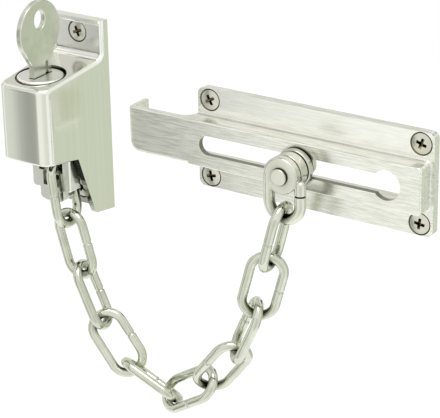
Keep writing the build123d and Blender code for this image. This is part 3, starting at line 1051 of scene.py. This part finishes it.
floorPaint = Paint("floorPaint", Roughness=studio["floorRough"])
floorPaint.shader.inputs["Base Color"].default_value = rgb(*evenly(studio["floorTone"]))
rays = floorPaint.add("ShaderNodeLightPath")
shown = rays.named("Is Camera Ray") + rays.named("Is Glossy Ray") + rays.named("Is Transmission Ray")
glow = floorPaint.add("ShaderNodeEmission", inputs={"Strength": shown * studio["floorLift"]})
matt = Socket(floorPaint, floorPaint.shader.outputs[0])
floorPaint.surface(floorPaint.add("ShaderNodeAddShader", inputs={0: matt, 1: glow}))
floorSpot = (0, 0, cadBox[0][2] - studio["floorDrop"])
floor = addPlane("floor", studio["floorSize"], studio["floorSize"], floorSpot, (0, 0, 1))
floor.data.materials.append(floorPaint.material)
floor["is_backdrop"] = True

world = bpy.data.worlds.new("studioWorld")
scene.world = world
world.use_nodes = True
sky = Graph(world.node_tree)
rays = sky.add("ShaderNodeLightPath")
shown = rays.named("Is Camera Ray").atLeast(rays.named("Is Glossy Ray"))
shown = shown.atLeast(rays.named("Is Transmission Ray"))
strength = shown * (1.0 - studio["domeLight"]) + studio["domeLight"]
ground = world.node_tree.nodes["Background"]
ground.inputs["Color"].default_value = rgb(1.0, 1.0, 1.0)
world.node_tree.links.new(strength.socket, ground.inputs["Strength"])

# cards that only reflections see, each with tones by place along x
cards = {
    "frontWall": {
        "wide": 1.3, "tall": 0.75, "spot": (-0.15, -0.30, -0.275), "facing": (0, 1, 0),
        "stops": ((-0.80, 0.80), (-0.36, 0.80), (-0.33, 0.52), (-0.305, 0.42), (-0.285, 0.36),
                  (-0.268, 0.33), (-0.25, 0.36), (-0.225, 0.88), (-0.19, 1.0), (0.0, 1.0),
                  (0.12, 0.84), (0.5, 0.80)),
        "tint": (1.0, 1.01, 0.97),
    },
    "frontHigh": {
        "wide": 1.3, "tall": 0.5, "spot": (-0.15, -0.30, 0.38), "facing": (0, 1, 0),
        "stops": ((-0.80, 0.75), (-0.33, 0.75), (-0.26, 1.12), (0.50, 1.12)),
        "tint": (1.0, 0.98, 0.97),
    },
    "sideGreen": {
        "wide": 0.60, "tall": 0.8, "spot": (0.20, 0.366, -0.195), "facing": (-0.513, -0.765, 0.389),
        "stops": ((-0.03, 0.69), (0.38, 0.72)),
        "tint": (0.96, 1.02, 0.86),
    },
    "backHigh": {
        "wide": 0.55, "tall": 0.5, "spot": (-0.44, 0.50, 0.46), "facing": (0.513, -0.603, -0.61),
        "stops": ((-0.8, 0.70), (0.1, 0.70)),
        "tint": (1.02, 1.0, 0.95),
    },
    "backDark": {
        "wide": 0.40, "tall": 1.0, "spot": (0.10, 0.72, -0.05), "facing": (0, -1, 0),
        "stops": ((-0.10, 0.05), (0.30, 0.05)),
        "tint": (1.0, 1.05, 0.75),
    },
    "backLow": {
        "wide": 0.60, "tall": 0.50, "spot": (-0.456, 0.42, -0.216), "facing": (0.639, -0.687, 0.345),
        "stops": ((-0.80, 0.78), (-0.10, 0.78)),
        "tint": (0.96, 1.02, 0.86),
    },
    "overhead": {
        "wide": 1.6, "tall": 1.6, "spot": (0.0, 0.0, 1.1), "facing": (0, 0, -1),
        "stops": ((-0.80, 0.55), (-0.20, 0.62), (0.25, 1.0), (0.80, 1.0)),
        "tint": (1.0, 1.0, 0.97),
    },
    "leftDark": {
        "wide": 0.20, "tall": 1.0, "spot": (-0.75, 0.05, -0.05), "facing": (1, 0, 0),
        "stops": ((-0.76, 0.60), (-0.74, 0.60)),
        "tint": (1.0, 1.05, 0.85),
    },
}


def cardMaterial(name, look):
    paint = Paint(name)
    along = paint.add("ShaderNodeSeparateXYZ", inputs={0: paint.add("ShaderNodeNewGeometry")})
    first = look["stops"][0][0]
    span = look["stops"][-1][0] - first
    brightest = max(tone for place, tone in look["stops"])
    stops = []
    for place, tone in look["stops"]:
        colour = rgb(*(tone / brightest * part for part in look["tint"]))
        stops.append(((place - first) / span, colour))
    ramp = paint.add("ShaderNodeValToRGB", {"stops": stops}, {0: (along - first) * (1 / span)})
    paint.surface(paint.add("ShaderNodeEmission", inputs={"Color": ramp, "Strength": brightest}))
    return paint.material


for name, look in cards.items():
    card = addPlane(name, look["wide"], look["tall"], look["spot"], look["facing"])
    card.data.materials.append(cardMaterial(name + "Paint", look))
    card.visible_camera = False
    card.visible_shadow = False
    card.visible_diffuse = False
    card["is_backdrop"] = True

# one soft lamp from above
lampLook = {"spot": Vector((0.1, -0.3, 0.9)), "size": 0.7, "power": 4.0}
lamp = bpy.data.objects.new("topLamp", bpy.data.lights.new("topLamp", "AREA"))
lamp.data.size = lampLook["size"]
lamp.data.energy = lampLook["power"]
lamp.location = lampLook["spot"]
lamp.rotation_euler = (cameraLook["target"] - lampLook["spot"]).to_track_quat("-Z", "Y").to_euler()
scene.collection.objects.link(lamp)
print("studio set")

low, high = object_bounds()
